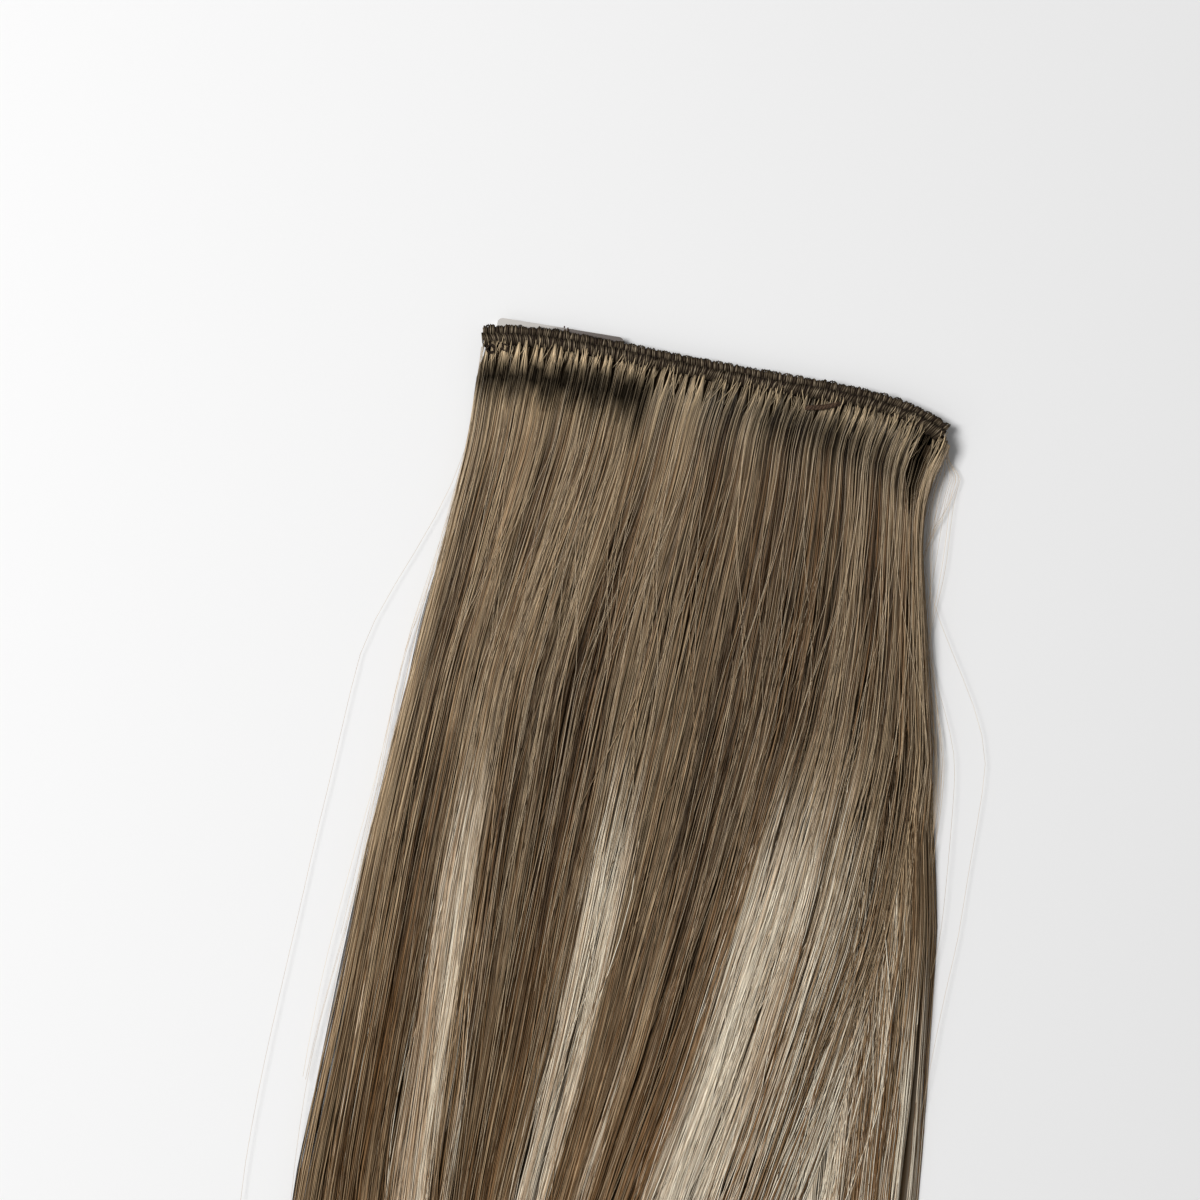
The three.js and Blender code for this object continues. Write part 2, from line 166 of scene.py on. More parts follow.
def unit(vectors):
    """Vectors scaled to length one."""
    return vectors / np.maximum(np.linalg.norm(vectors, axis=-1, keepdims=True), 1e-12)


def tube_arrays(paths, radii, sides, reference=(0, 0, 1), roll=0.0):
    """Points, corners and face starts of closed tubes.

    Each ring is the path's point plus the radius times cos(angle) across and sin(angle) up,
    where across is square to the path and to the reference direction.
    """
    paths = np.asarray(paths, float)
    count, steps = paths.shape[:2]
    tangent = unit(np.gradient(paths, axis=1))
    across = unit(np.cross(tangent, np.broadcast_to(reference, tangent.shape)))
    up = np.cross(tangent, across)
    turn = np.reshape(roll, (-1, 1, 1)) + 2 * np.pi * np.arange(sides) / sides
    radius = np.broadcast_to(radii, (count, steps))[..., None, None]
    ring = np.cos(turn)[..., None] * across[:, :, None] + np.sin(turn)[..., None] * up[:, :, None]
    points = paths[:, :, None] + radius * ring
    side = np.arange(sides)
    after = (side + 1) % sides
    rows = np.arange(steps - 1)[:, None] * sides
    wall = np.stack([rows + side, rows + after, rows + after + sides, rows + side + sides], -1)
    caps = np.concatenate([side[::-1], (steps - 1) * sides + side])
    one = np.concatenate([wall.ravel(), caps])
    loops = (np.arange(count)[:, None] * steps * sides + one).ravel()
    sizes = np.concatenate([np.full(wall.size // 4, 4), np.full(2, sides)])
    sizes = np.tile(sizes, count)
    starts = np.concatenate([[0], np.cumsum(sizes)[:-1]])
    return points.reshape(-1, 3), loops, starts


def put_tubes(name, paths, radii, sides, reference=(0, 0, 1), roll=0.0):
    """A piece of closed tubes along paths, an array of tube by step by coordinate."""
    return put_mesh(name, *tube_arrays(paths, radii, sides, reference, roll))


def put_shell(name, top, bottom):
    """A closed body between two grids of the same size, the top one facing up."""
    rows, columns = top.shape[:2]
    index = np.arange(rows * columns).reshape(rows, columns)
    upper = np.stack([index[:-1, :-1], index[1:, :-1], index[1:, 1:], index[:-1, 1:]], -1)
    lower = upper[..., ::-1] + rows * columns
    rim = np.concatenate([index[0, :-1], index[:-1, -1], index[-1, :0:-1], index[:0:-1, 0]])
    rim_after = np.roll(rim, -1)
    below = rows * columns
    wall = np.stack([rim, rim_after, rim_after + below, rim + below], -1)
    faces = np.concatenate([upper.reshape(-1, 4), lower.reshape(-1, 4), wall])
    points = np.concatenate([top.reshape(-1, 3), bottom.reshape(-1, 3)])
    corners = points[faces]
    normals = np.cross(corners[:, 1] - corners[:, 0], corners[:, 2] - corners[:, 0])
    if (corners[:, 0] * normals).sum() < 0:
        faces = faces[:, ::-1]
    return put_mesh(name, points, faces.ravel(), np.arange(len(faces)) * 4)


def put_attribute(piece, name, values):
    """A number for each vertex, which a material can read."""
    layer = piece.data.attributes.new(name, "FLOAT", "POINT")
    layer.data.foreach_set("value", np.asarray(values, np.float32).ravel())


def put_vectors(piece, name, values):
    """A vector for each vertex, which a material can read as coordinates."""
    layer = piece.data.attributes.new(name, "FLOAT_VECTOR", "POINT")
    layer.data.foreach_set("vector", np.asarray(values, np.float32).ravel())


def triangles(piece):
    """How many triangles a piece comes to."""
    return len(piece.data.loops) - 2 * len(piece.data.polygons)


print("mesh helpers: tubes and shells")


# %% [markdown]
# Where does a hair lie? A hair is rooted at a share along the weft and drifts sideways as it
# comes down. Two short tables give the drift at a few places along the weft, in shares of the
# hair's fall: one for the front layer and one for the straighter back layer. The tables are
# spread over a fine grid and blurred a little, which rounds their corners.

# %% Flow of the hair
HAIR_FALL = 295 * MM
FRONT_PLACES = [0, 0.28, 0.5, 0.8, 0.92, 1]
FRONT_DRIFT = {
    0.00: (0, 0, 0, 0.003, 0.005, 0.004),
    0.02: (0, -0.002, -0.003, 0.001, 0.003, 0.002),
    0.05: (-0.006, -0.010, -0.015, -0.013, -0.015, -0.018),
    0.10: (-0.013, -0.022, -0.026, -0.015, -0.018, -0.024),
    0.20: (-0.037, -0.057, -0.054, -0.026, -0.024, -0.019),
    0.30: (-0.063, -0.090, -0.077, -0.043, -0.036, -0.013),
    0.45: (-0.101, -0.116, -0.110, -0.087, -0.070, -0.030),
    0.60: (-0.132, -0.137, -0.143, -0.137, -0.118, -0.066),
    0.74: (-0.163, -0.156, -0.179, -0.191, -0.166, -0.108),
    0.87: (-0.184, -0.168, -0.204, -0.228, -0.204, -0.145),
    1.00: (-0.200, -0.174, -0.217, -0.246, -0.226, -0.170),
}
BACK_PLACES = [0, 0.5, 1]
BACK_DRIFT = {
    0.00: (0, 0, 0),
    0.10: (-0.010, -0.019, -0.028),
    0.20: (-0.030, -0.039, -0.024),
    0.30: (-0.054, -0.057, -0.013),
    0.45: (-0.085, -0.078, -0.010),
    0.60: (-0.111, -0.100, -0.020),
    0.74: (-0.137, -0.126, -0.031),
    0.87: (-0.157, -0.146, -0.044),
    1.00: (-0.170, -0.158, -0.055),
}
GRID_DOWN = 240
GRID_ALONG = 120
BLUR = 7


def blurred(values, axis):
    """Values averaged with their neighbours along one axis, with the ends carried on straight."""
    values = np.moveaxis(values, axis, 0)
    steps = np.arange(1, BLUR + 1)[:, None]
    before = values[0] - (values[1] - values[0]) * steps[::-1]
    after = values[-1] + (values[-1] - values[-2]) * steps
    padded = np.concatenate([before, values, after])
    kernel = np.hanning(2 * BLUR + 3)[1:-1]
    kernel /= kernel.sum()
    smooth = sum(weight * padded[i:i + len(values)] for i, weight in enumerate(kernel))
    return np.moveaxis(smooth, 0, axis)


def drift_grid(places, rows):
    """Drift on a fine grid of down by along, from a short table."""
    downs = np.array(list(rows))
    table = np.array(list(rows.values()))
    down = np.linspace(0, 1, GRID_DOWN)
    along = np.linspace(0, 1, GRID_ALONG)
    by_place = np.stack([np.interp(down, downs, column) for column in table.T], 1)
    grid = np.stack([np.interp(along, places, row) for row in by_place])
    return blurred(blurred(grid, 0), 1)


GRIDS = {"front": drift_grid(FRONT_PLACES, FRONT_DRIFT), "back": drift_grid(BACK_PLACES, BACK_DRIFT)}


def flow(layer, along, fall):
    """x and y of hairs rooted at shares along the weft, at distances below its top edge.

    The place is the root's, less the fall in y, plus the drift read between four grid values.
    """
    along, fall = np.broadcast_arrays(along, fall)
    a = np.clip(along, 0, 1) * (GRID_ALONG - 1)
    d = np.clip(fall / HAIR_FALL, 0, 1) * (GRID_DOWN - 1)
    a0 = np.minimum(a.astype(int), GRID_ALONG - 2)
    d0 = np.minimum(d.astype(int), GRID_DOWN - 2)
    fa, fd = a - a0, d - d0
    grid = GRIDS[layer]
    low = grid[d0, a0] * (1 - fa) + grid[d0, a0 + 1] * fa
    high = grid[d0 + 1, a0] * (1 - fa) + grid[d0 + 1, a0 + 1] * fa
    drift = (low * (1 - fd) + high * fd) * HAIR_FALL
    x, y = weft_point(np.clip(along, 0, 1))
    beyond = (along - np.clip(along, 0, 1)) * WEFT_LENGTH
    return x + drift + beyond, y - fall


left_end, right_end = (float(flow("front", along, HAIR_FALL)[0]) / MM for along in (0, 1))
print("tips of the front hair, x in mm:", round(left_end, 1), "to", round(right_end, 1))


# %% [markdown]
# How high does the hair lie? Its underside clears the clips and then comes down to the floor.
# Its top leaves the front track, dips over the left clip and in two narrow gaps, and swells
# again over the loose body of the hair. It thins towards the tips and rounds off at both edges.

# %% Heights of the hair
ROOT_FALL = 5.6 * MM
GRIP_REACH = 9 * MM
DESCENT_RUN = 14 * MM
UNDER_LIFT = 3.9 * MM
CLEARANCE = 0.15 * MM
ROOT_TOP = front_high.z - 0.45 * MM
BODY_FALL = 30 * MM
BODY_TOP = 6.4 * MM
DIP = 2.6 * MM
CLIP_DIP = {"end": 0.368, "start": (8.6 * MM, 6.4 * MM), "rise": 3.1 * MM, "fade": 15 * MM, "fall": 4 * MM}
FOLD = {"along": 0.364, "width": 0.013, "start": 6 * MM, "end": 27 * MM, "share": 0.8}
END_GAP = {"along": 0.951, "width": 0.016, "start": 1 * MM, "end": 27 * MM, "share": 1.0}
SOFT_DIP = {"left": 0.52, "right": 0.95, "fall": (8 * MM, 19 * MM), "height": 4.2 * MM, "share": 0.44}


def smooth_step(low, high, values):
    """0 below low, 1 above high, and an S between them."""
    t = np.clip((values - low) / (high - low), 0, 1)
    return t * t * (3 - 2 * t)


def bell(values, middle, width):
    """1 at the middle, falling off as a Gaussian curve."""
    return np.exp(-(((values - middle) / width) ** 2))


def wave_noise(seed, along, fall, along_waves, fall_waves, terms=7):
    """A smooth field between about -1 and 1: a sum of slanted cosine waves."""
    dice = np.random.default_rng(seed)
    total = 0
    for _ in range(terms):
        fa, fd = dice.uniform(0.4, 1) * along_waves, dice.uniform(-1, 1) * fall_waves
        phase = dice.uniform(0, 2 * np.pi)
        total = total + np.cos(2 * np.pi * (fa * along + fd * fall / HAIR_FALL) + phase)
    return total / np.sqrt(terms) / 1.4


def underside(fall):
    """Height of the lowest hairs: over the clips' sleeves, then down to the floor."""
    return UNDER_LIFT * (1 - smooth_step(GRIP_REACH, GRIP_REACH + DESCENT_RUN, fall)) + CLEARANCE


def cleft(row, along, fall):
    """A narrow gap between two falls: its share along its middle, fading at its ends."""
    span = smooth_step(row["start"], row["start"] + 3 * MM, fall)
    span = span * (1 - smooth_step(row["end"] - 12 * MM, row["end"], fall))
    return row["share"] * np.exp(-((along - row["along"]) / row["width"]) ** 4) * span


def dip(along, fall):
    """How deep in a dip a place is, 0 to 1: over the left clip, in a gap or in the soft one."""
    ragged = fall + 0.5 * MM * wave_noise(8, along, fall, 22, 1)
    over_clip = 1 - smooth_step(CLIP_DIP["end"] - 0.015, CLIP_DIP["end"] + 0.005, along)
    start = np.interp(along, (0.1, 0.25), CLIP_DIP["start"])
    deep = over_clip * smooth_step(0, CLIP_DIP["rise"], ragged - start)
    deep = deep * (1 - smooth_step(0, CLIP_DIP["fall"], ragged - CLIP_DIP["fade"]))
    across = (along - SOFT_DIP["left"]) / (SOFT_DIP["right"] - SOFT_DIP["left"])
    middle = np.interp(across, (0, 1), SOFT_DIP["fall"])
    soft = smooth_step(0, 0.4, across) * (1 - smooth_step(0.9, 1.1, across))
    soft = SOFT_DIP["share"] * soft * bell(ragged, middle, SOFT_DIP["height"])
    clefts = np.maximum(cleft(FOLD, along, fall), cleft(END_GAP, along, fall))
    return np.maximum(np.maximum(deep, soft), clefts)


def top_height(along, fall):
    """Height of the highest hairs.

    It goes from the root's to the body's height on an S curve, less the dips. The body thins to
    0.42 towards the tips, and near the edges it sinks to a little over the underside, as a
    quarter circle does.
    """
    along, fall = np.broadcast_arrays(along, fall)
    body = BODY_TOP * (1 - 0.58 * smooth_step(0.5, 1.0, fall / HAIR_FALL))
    body = body + 0.4 * MM * wave_noise(3, along, fall, 5, 2.5)
    height = ROOT_TOP + (body - ROOT_TOP) * smooth_step(ROOT_FALL, BODY_FALL, fall)
    height = height - DIP * dip(along, fall)
    edge = np.clip(np.minimum(along, 1 - along) / 0.045, 0, 1)
    rounding = np.sqrt(np.clip(1 - (1 - edge) ** 2, 0, 1))
    floor = underside(fall) + 0.6 * MM
    share = 0.2 + 0.8 * rounding
    return np.maximum(floor + (height - floor) * share, underside(fall) + 0.5 * MM)


heights = [round(float(top_height(0.45, fall * MM)) / MM, 1) for fall in (6, 12, 30, 100, 290)]
print("heights down the middle, mm:", heights)


# %% [markdown]
# Shader maths reads like arithmetic here. A small class wraps a socket, so that an expression
# adds its own Math nodes, and one method adds any other node.

# %% Finish helpers
class Socket:
    """An output of a node; arithmetic on it adds Math nodes."""

    def __init__(self, tree, output):
        self.tree = tree
        self.output = output

    def maths(self, operation, first, second):
        node = self.tree.nodes.new("ShaderNodeMath")
        node.operation = operation
        for place, value in zip(node.inputs, (first, second)):
            if isinstance(value, Socket):
                self.tree.links.new(value.output, place)
            else:
                place.default_value = value
        return Socket(self.tree, node.outputs[0])

    def __add__(self, other):
        return self.maths("ADD", self, other)

    def __radd__(self, other):
        return self.maths("ADD", other, self)

    def __sub__(self, other):
        return self.maths("SUBTRACT", self, other)

    def __rsub__(self, other):
        return self.maths("SUBTRACT", other, self)

    def __mul__(self, other):
        return self.maths("MULTIPLY", self, other)

    def __rmul__(self, other):
        return self.maths("MULTIPLY", other, self)

    def __truediv__(self, other):
        return self.maths("DIVIDE", self, other)

    def __rtruediv__(self, other):
        return self.maths("DIVIDE", other, self)


class Finish:
    """A material whose nodes are added one by one round a Principled shader."""

    def __init__(self, name, **constants):
        self.material = bpy.data.materials.new(name)
        self.material.use_nodes = True
        self.tree = self.material.node_tree
        self.shader = self.tree.nodes["Principled BSDF"]
        for socket, value in constants.items():
            self.shader.inputs[socket.replace("_", " ")].default_value = value

    def node(self, kind, settings=(), output=0, **inputs):
        """Any node: settings, then inputs by name with _ for a space, or i and their number."""
        node = self.tree.nodes.new("ShaderNode" + kind)
        for key, value in dict(settings).items():
            setattr(node, key, value)
        for key, value in inputs.items():
            numbered = key[0] == "i" and key[1:].isdigit()
            place = node.inputs[int(key[1:]) if numbered else key.replace("_", " ")]
            self.feed(place, value)
        return Socket(self.tree, node.outputs[output])

    def feed(self, place, value):
        if isinstance(value, Socket):
            self.tree.links.new(value.output, place)
        else:
            place.default_value = value

    def attribute(self, name):
        """A number that the piece's vertices hold."""
        return self.node("Attribute", {"attribute_name": name}, output=2)

    def vector_attribute(self, name):
        """Coordinates that the piece's vertices hold."""
        return self.node("Attribute", {"attribute_name": name}, output=1)

    def place(self):
        return self.node("TexCoord", output=3)

    def stretched(self, x, y, z):
        """Object coordinates, scaled by their own number on each axis."""
        return self.node("Mapping", Vector=self.place(), Scale=(x, y, z))

    def noise(self, vector, scale, detail=3.0, roughness=0.55):
        return self.node("TexNoise", Vector=vector, Scale=scale, Detail=detail, Roughness=roughness)

    def clamp(self, value, low, high):
        """0 where the value is below low, 1 above high, and straight between them."""
        return self.node("MapRange", Value=value, From_Min=low, From_Max=high)

    def mix(self, factor, first, second):
        """A colour between two others."""
        return self.node("Mix", {"data_type": "RGBA"}, output=2, i0=factor, i6=first, i7=second)

    def bump(self, height, strength, distance):
        return self.node("Bump", Height=height, Strength=strength, Distance=distance)

    def surface(self, **links):
        for socket, value in links.items():
            self.feed(self.shader.inputs[socket.replace("_", " ")], value)
        return self.material

    def shaded(self, share, shade):
        """Painted shade: part of the surface gives way to a dull dark one, which has no gloss either."""
        dull = self.node("BsdfPrincipled", Base_Color=shade, Roughness=1.0, Specular_IOR_Level=0.0)
        glossy = Socket(self.tree, self.shader.outputs[0])
        both = self.node("MixShader", i0=share, i1=glossy, i2=dull)
        self.tree.links.new(both.output, self.tree.nodes["Material Output"].inputs["Surface"])
        return self.material


def colour(red, green, blue):
    """A linear colour with full alpha from screen values between 0 and 255."""
    share = np.array([red, green, blue]) / 255
    linear = np.where(share > 0.04, ((share + 0.055) / 1.055) ** 2.4, share / 12.92)
    return (*linear.tolist(), 1.0)


print("linear value of mid grey:", round(colour(128, 128, 128)[0], 3))


# %% [markdown]
# Hair is not one brown. Each hair has its own shade, between a cool dark and a light ash, some
# are golden, and in some places all are pale from halfway down. A painted shade, the dimming,
# stands for the shade that hairs cast on each other where there are thousands more than are
# built, and for the shadow in the dips, and it takes their gloss away too. All of these are
# numbers on the vertices, with coordinates that run along each hair, so that its shade changes as
# it goes and no two hairs change alike.

# %% Hair finish
GOLDEN = (1.0, 0.9, 0.76, 1.0)


def hair_finish(name, level, roughness, gloss):
    """Ash brown hair; level scales every shade, and under the hairs it is lowered as painted shade."""
    def shade_of(*values):
        return colour(*(level * value for value in values))

    hair = Finish(name, IOR=1.5, Specular_IOR_Level=gloss, Specular_Tint=GOLDEN)
    lay = hair.vector_attribute("lay")
    drift = hair.noise(lay, 1.0, 3.0, 0.6)
    tone = hair.clamp(hair.attribute("shade") + (drift - 0.5) * 1.2, 0.0, 1.0)
    ash = hair.mix(tone, shade_of(16, 12, 8), shade_of(228, 202, 163))
    brown = hair.mix(hair.attribute("warm"), ash, shade_of(164, 120, 74))
    blond = hair.mix(tone, shade_of(208, 178, 143), shade_of(255, 244, 222))
    pale = hair.clamp(hair.attribute("pale") * (0.85 + drift * 0.5), 0.0, 0.95)
    lit = hair.mix(pale, brown, blond)
    hair.surface(Base_Color=lit, Roughness=roughness + (0.5 - drift) * 0.25)
    # Where the painted shade is strong, the hair gives way to a dull near-black brown.
    return hair.shaded(hair.attribute("dim"), shade_of(13, 10, 7))


HAIR = hair_finish("hair", 1.0, 0.34, 0.55)
# Under the hairs every colour is halved, as painted shade.
HAIR_UNDER = hair_finish("hair_under", 0.5, 0.7, 0.1)
FOLDED_HAIR = hair_finish("folded_hair", 0.8, 0.5, 0.35)


def put_shades(piece, sides, lay, **layers):
    """The hair finish's numbers on a piece whose points are rings of so many sides."""
    shape = lay.shape[:-1]
    put_vectors(piece, "lay", np.repeat(lay.reshape(-1, 3), sides, axis=0))
    for name in ("shade", "pale", "warm", "dim"):
        values = np.broadcast_to(layers.get(name, 0.0), shape)
        put_attribute(piece, name, np.repeat(values.ravel(), sides))


print("finishes:", HAIR.name, HAIR_UNDER.name, FOLDED_HAIR.name)


# %% [markdown]
# The pale streaks follow the flow. Each row says where along the weft a streak's hairs are
# rooted, how wide it is, where down the hair it starts and how many of its hairs are pale.

# %% Pale streaks
STREAKS = [  # along, width, start, full, cover
    (0.232, 0.042, 0.34, 0.47, 1.15),
    (0.524, 0.030, 0.35, 0.45, 2.20),
    (0.822, 0.058, 0.33, 0.43, 1.20),
    (0.905, 0.030, 0.32, 0.50, 0.50),
    (0.972, 0.034, 0.45, 0.60, 0.60),
    (0.305, 0.012, 0.45, 0.60, 0.60),
    (0.640, 0.014, 0.52, 0.66, 0.55),
    (0.080, 0.040, 0.30, 0.70, 0.12),
]


def paleness(along, fall, dice):
    """How pale each hair is, 0 to 1: the strongest streak at its root, from its start down."""
    total = np.zeros(np.broadcast(along, fall).shape)
    shift = (dice * 7 % 1 - 0.5) * 0.1
    for middle, width, start, full, cover in STREAKS:
        inside = np.exp(-np.abs((along - middle) / width) ** 3)
        chosen = (dice < cover * inside) * 1.0
        down = smooth_step(start, full, fall / HAIR_FALL + shift)
        total = np.maximum(total, chosen * down)
    return total


print("pale streaks:", len(STREAKS))


# %% [markdown]
# Under the hairs lie three closed shells, two for the front layer and one for the back one.
# They keep the floor from showing through, and their finish, streaked finely along the flow, is
# painted dark with the shade that deeper hair lies in, so it reads as hair that lies deeper.

# %% Body of the hair
BODY_COLUMNS = 90
BODY_STEPS = 30
BODY_DEPTH = 1.3 * MM
BODY_JAGS = 0.06
SEED_SPREAD = 5000
LAY_LENGTH = 9 * MM
STRAND_WIDTH = 0.3 * MM


def hair_body(name, layer, low, high, sink, end):
    """A shell under the hairs: the layer's top less its sink, with a jagged end.

    Low and high are shares along the weft, at the root and from 40 mm down.
    """
    run = np.linspace(0, 1, BODY_STEPS)[:, None] ** 1.25
    ends = end + BODY_JAGS * rng.uniform(-1, 1, BODY_COLUMNS)
    fall = ROOT_FALL - 1.2 * MM + (ends * HAIR_FALL - ROOT_FALL) * run
    first, last = (np.interp(fall, (10 * MM, 40 * MM), pair) for pair in (low, high))
    along = first + (last - first) * np.linspace(0, 1, BODY_COLUMNS)
    x, y = flow(layer, along, fall)
    top = top_height(along, fall) - sink - 0.3 * MM * rng.random(BODY_COLUMNS)
    low_z = np.broadcast_to(underside(fall) + 0.1 * MM, x.shape)
    top = np.maximum(top, low_z + CLEARANCE)
    piece = put_shell(name, np.stack([x, y, top], -1), np.stack([x, y, low_z], -1))
    strand = along * WEFT_LENGTH / STRAND_WIDTH
    lay = np.stack([strand, np.broadcast_to(fall / LAY_LENGTH / 2, x.shape), 0 * x], -1)
    pale = paleness(along, fall, np.broadcast_to(0.5 + 0.4 * rng.random(BODY_COLUMNS), x.shape))
    # Painted shade on the body: a little everywhere, and strong in the dips as a painted shadow.
    twice = {"shade": 0.45, "pale": 0.8 * pale, "warm": 0.5, "dim": 0.2 + 0.8 * dip(along, fall)}
    both = {key: np.tile(np.broadcast_to(value, x.shape), (2, 1)) for key, value in twice.items()}
    put_shades(piece, 1, np.tile(lay, (2, 1, 1)), **both)
    piece.data.materials.append(HAIR_UNDER)
    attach(piece, "root")
    return piece


bodies = [
    hair_body("hair_body_left", "front", (0.012, 0.04), (0.5, 0.5), BODY_DEPTH, 0.9),
    hair_body("hair_body_right", "front", (0.5, 0.5), (0.985, 0.95), BODY_DEPTH, 0.9),
    hair_body("hair_body_back", "back", (0.5, 0.5), (0.985, 0.984), BODY_DEPTH + 1.1 * MM, 0.9),
]
print("hair bodies:", sum(triangles(piece) for piece in bodies), "triangles")


# %% [markdown]
# Each hair that shows is a three-sided tube. The hairs leave the track in tufts, spread into an
# even curtain, and then gather a little into wisps and locks, which is what makes hair look
# like hair. Slow and quick waves of its own take each hair a little off its neighbours' way, so
# that hairs cross at small angles, rise to the top and go under again.

# %% Single hairs
TUFTS = 56
WISPS = 230
LOCKS = 34
HAIR_STEPS = 32
HAIR_RADIUS = 0.09 * MM
HAIR_DEPTH = 1.2 * MM
TUFT_ARCH = 0.9 * MM
TUFT_MOUND = 0.35 * MM
WISP_MOUND = 0.12 * MM
LOCK_MOUND = 0.4 * MM
WISP_RISE = 0.25 * MM
OWN_RISE = 0.3 * MM
TUFT_PULL = 0.7
LOOSENING = 7 * MM
GAP_PUSH = 1.25 * END_GAP["width"]
EDGE = 0.03
DEEPEST_PAINTED_SHADE = 0.97


def centres(count, seed):
    """Uneven centres along the weft: even ones moved by up to 0.45 of their spacing."""
    dice = np.random.default_rng(seed)
    return (np.arange(count) + 0.5 + dice.uniform(-0.45, 0.45, count)) / count


def numbers(count, seed):
    """One number between 0 and 1 for each tuft, wisp or lock."""
    return np.random.default_rng(seed).random(count)


TUFT_CENTRES = centres(TUFTS, 4)
WISP_CENTRES = centres(WISPS, 5)
LOCK_CENTRES = centres(LOCKS, 6)


def nearest(along, places):
    """The index of the nearest centre."""
    right = np.clip(np.searchsorted(places, along), 1, len(places) - 1)
    return np.where(along - places[right - 1] < places[right] - along, right - 1, right)


def own_waves(dice, count, down, least, most):
    """For each hair a sum of two cosine waves of its own, with so many waves down its length."""
    total = 0
    for _ in range(2):
        waves = dice.uniform(least, most, (count, 1))
        phase = dice.random((count, 1))
        total = total + np.cos(2 * np.pi * (waves * down + phase))
    return total / 2


def hair_paths(layer, along, depth, length, dice):
    """Paths of hairs, hair by step by coordinate, the fall at each step, and its painted shade.

    The share along the weft moves from its tuft at the root to its own place, and then part of
    the way to its wisp's and its lock's centre, with the waves of the lock, the wisp and the
    hair added. The height is the layer's top, less the hair's depth, plus a mound across each
    wisp and lock, the arch of the tufts where they leave the track, and the hair's own waves.
    """
    count = len(along)
    own = along[:, None]
    tuft, wisp, lock = (
        nearest(along, places)[:, None] for places in (TUFT_CENTRES, WISP_CENTRES, LOCK_CENTRES)
    )
    start = ROOT_FALL + MM * (0.3 * dice.random((count, 1)) - 0.1 - 1.8 * numbers(TUFTS, 21)[tuft])
    run = np.linspace(0, 1, HAIR_STEPS) ** 1.7
    fall = start + (length[:, None] * HAIR_FALL - start) * run
    down = fall / HAIR_FALL

    loosened = smooth_step(ROOT_FALL, ROOT_FALL + LOOSENING, fall)
    place = own + (TUFT_CENTRES[tuft] - own) * TUFT_PULL * (1 - loosened)
    hold = 0.25 + 0.25 * wave_noise(33, WISP_CENTRES[wisp] * 43, fall, 1, 7)
    place = place + (WISP_CENTRES[wisp] - own) * hold * smooth_step(0.04, 0.4, down)
    hold = 0.04 + 0.22 * numbers(LOCKS, 23)[lock]
    place = place + (LOCK_CENTRES[lock] - own) * hold * smooth_step(0.1, 0.9, down)
    lock_wave = wave_noise(31, LOCK_CENTRES[lock] * 9, fall, 1, 2.2)
    wisp_wave = wave_noise(32, WISP_CENTRES[wisp] * 31, fall, 1, 3.5)
    place = place + (0.005 * lock_wave + 0.003 * wisp_wave) * smooth_step(0.05, 0.4, down)
    loose = smooth_step(0.02, 0.25, down)
    reach = 0.0015 + dice.exponential(1, (count, 1)) ** 1.5 * 0.0045
    reach = reach * np.clip(np.minimum(own, 1 - own) / 0.05, 0.12, 1)
    slow = reach * own_waves(dice, count, down, 0.6, 3)
    quick = 0.002 * dice.random((count, 1)) * own_waves(dice, count, down, 3, 9)
    place = place + (slow + quick) * loose
    side = np.where(own > END_GAP["along"], 1, -1)
    beside = bell(own, END_GAP["along"], GAP_PUSH)
    open_gap = cleft(END_GAP, END_GAP["along"], fall)
    place = place + side * GAP_PUSH * beside * open_gap
    x, y = flow(layer, place, fall)

    wisp_mound = np.maximum(1 - ((own - WISP_CENTRES[wisp]) * WISPS * 1.3) ** 2, -1)
    lock_mound = np.maximum(1 - ((own - LOCK_CENTRES[lock]) * LOCKS * 1.8) ** 2, -1)
    tuft_mound = np.maximum(1 - ((own - TUFT_CENTRES[tuft]) * TUFTS * 1.6) ** 2, -1)
    edge = np.clip(1 - np.minimum(own, 1 - own) / EDGE, 0, 1)
    z = top_height(place, fall) - HAIR_DEPTH * depth[:, None] * (1 + 2 * edge)
    z = z + WISP_MOUND * wisp_mound + LOCK_MOUND * lock_mound * smooth_step(0.08, 0.3, down)
    z = z + TUFT_MOUND * tuft_mound * (1 - loosened)
    arch = smooth_step(start, start + 2.2 * MM, fall) * (1 - smooth_step(7.5 * MM, 12 * MM, fall))
    z = z + TUFT_ARCH * (0.25 + 0.75 * numbers(TUFTS, 24)[tuft]) * arch
    z = z + WISP_RISE * wisp_wave * smooth_step(0.04, 0.2, down)
    z = z + OWN_RISE * own_waves(dice, count, down, 2, 8) * smooth_step(0.03, 0.15, down)
    z = np.maximum(z, underside(fall) + CLEARANCE)
    # Painted shade: deeper hairs and the hairs between locks and between tufts are darker, and the tufts'
    # arches are lighter, as a painted highlight.
    dim = (depth[:, None] % 1) ** 0.65 + 0.1 * (1 - lock_mound) * smooth_step(0.05, 0.3, down)
    dim = dim + (0.5 * (1 - tuft_mound) - 0.5 * arch) * (1 - loosened)
    # Painted shadow: the dips over the left clip and in the gaps are dark.
    in_dip = dip(place, fall) ** 0.7
    dim = np.clip(dim, 0, 0.9) * (1 - 0.3 * in_dip) + 0.85 * in_dip
    return np.stack([x, y, z], -1), fall, np.clip(dim, 0, DEEPEST_PAINTED_SHADE)


